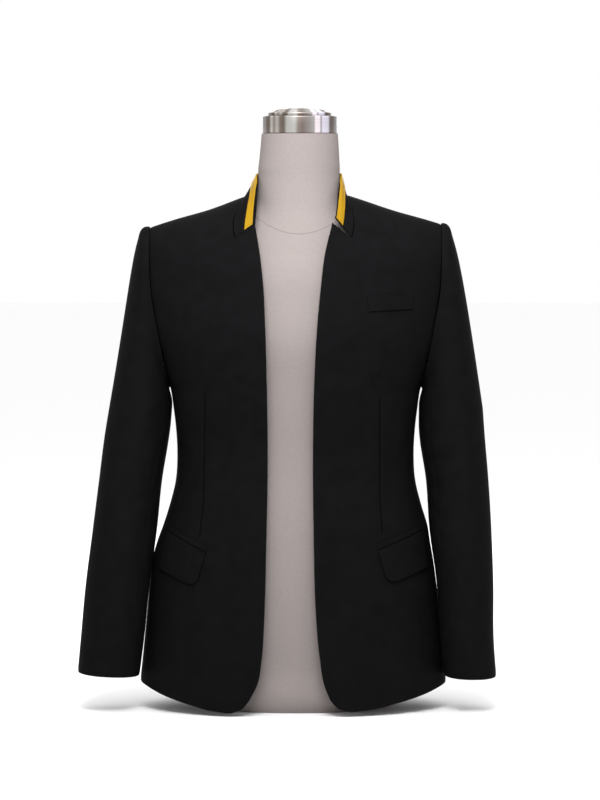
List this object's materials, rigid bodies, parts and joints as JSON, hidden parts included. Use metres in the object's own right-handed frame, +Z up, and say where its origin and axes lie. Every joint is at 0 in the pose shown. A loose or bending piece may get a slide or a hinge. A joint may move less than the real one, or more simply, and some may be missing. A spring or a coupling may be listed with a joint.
{
  "type": "blazer on a limbless dress form",
  "caption": "Open cutaway blazer with a narrow notched stand collar, satin collar ribbon and flap pockets, worn by a limbless dress form standing on its flat base.",
  "frame": {"origin": "centre of the form's flat bottom, on the table", "axes": "+Z up the form to its neck plate, -Y out of the jacket's open front, +X toward the wearer's left"},
  "size_m": [0.5488, 0.2443, 0.789],
  "materials": {
    "suit_cloth": "smooth black suiting, faint sheen",
    "collar_satin": "golden yellow satin ribbon",
    "form_cover": "greige linen cover",
    "neck_plate": "brushed"
  },
  "bodies": {
    "root": {"front_right": "suit_cloth", "front_left": "suit_cloth", "back_right": "suit_cloth", "back_left": "suit_cloth", "sleeve_top_right": "suit_cloth", "sleeve_top_left": "suit_cloth", "sleeve_under_right": "suit_cloth", "sleeve_under_left": "suit_cloth", "collar_stand": "suit_cloth", "collar_band": "collar_satin", "chest_welt": "suit_cloth", "pocket_jet_right": "suit_cloth", "pocket_jet_left": "suit_cloth", "pocket_flap_right": "suit_cloth", "pocket_flap_left": "suit_cloth", "form_body": "form_cover", "form_cap_ring": "neck_plate", "form_cap_dome": "neck_plate"}
  },
  "joints": []
}
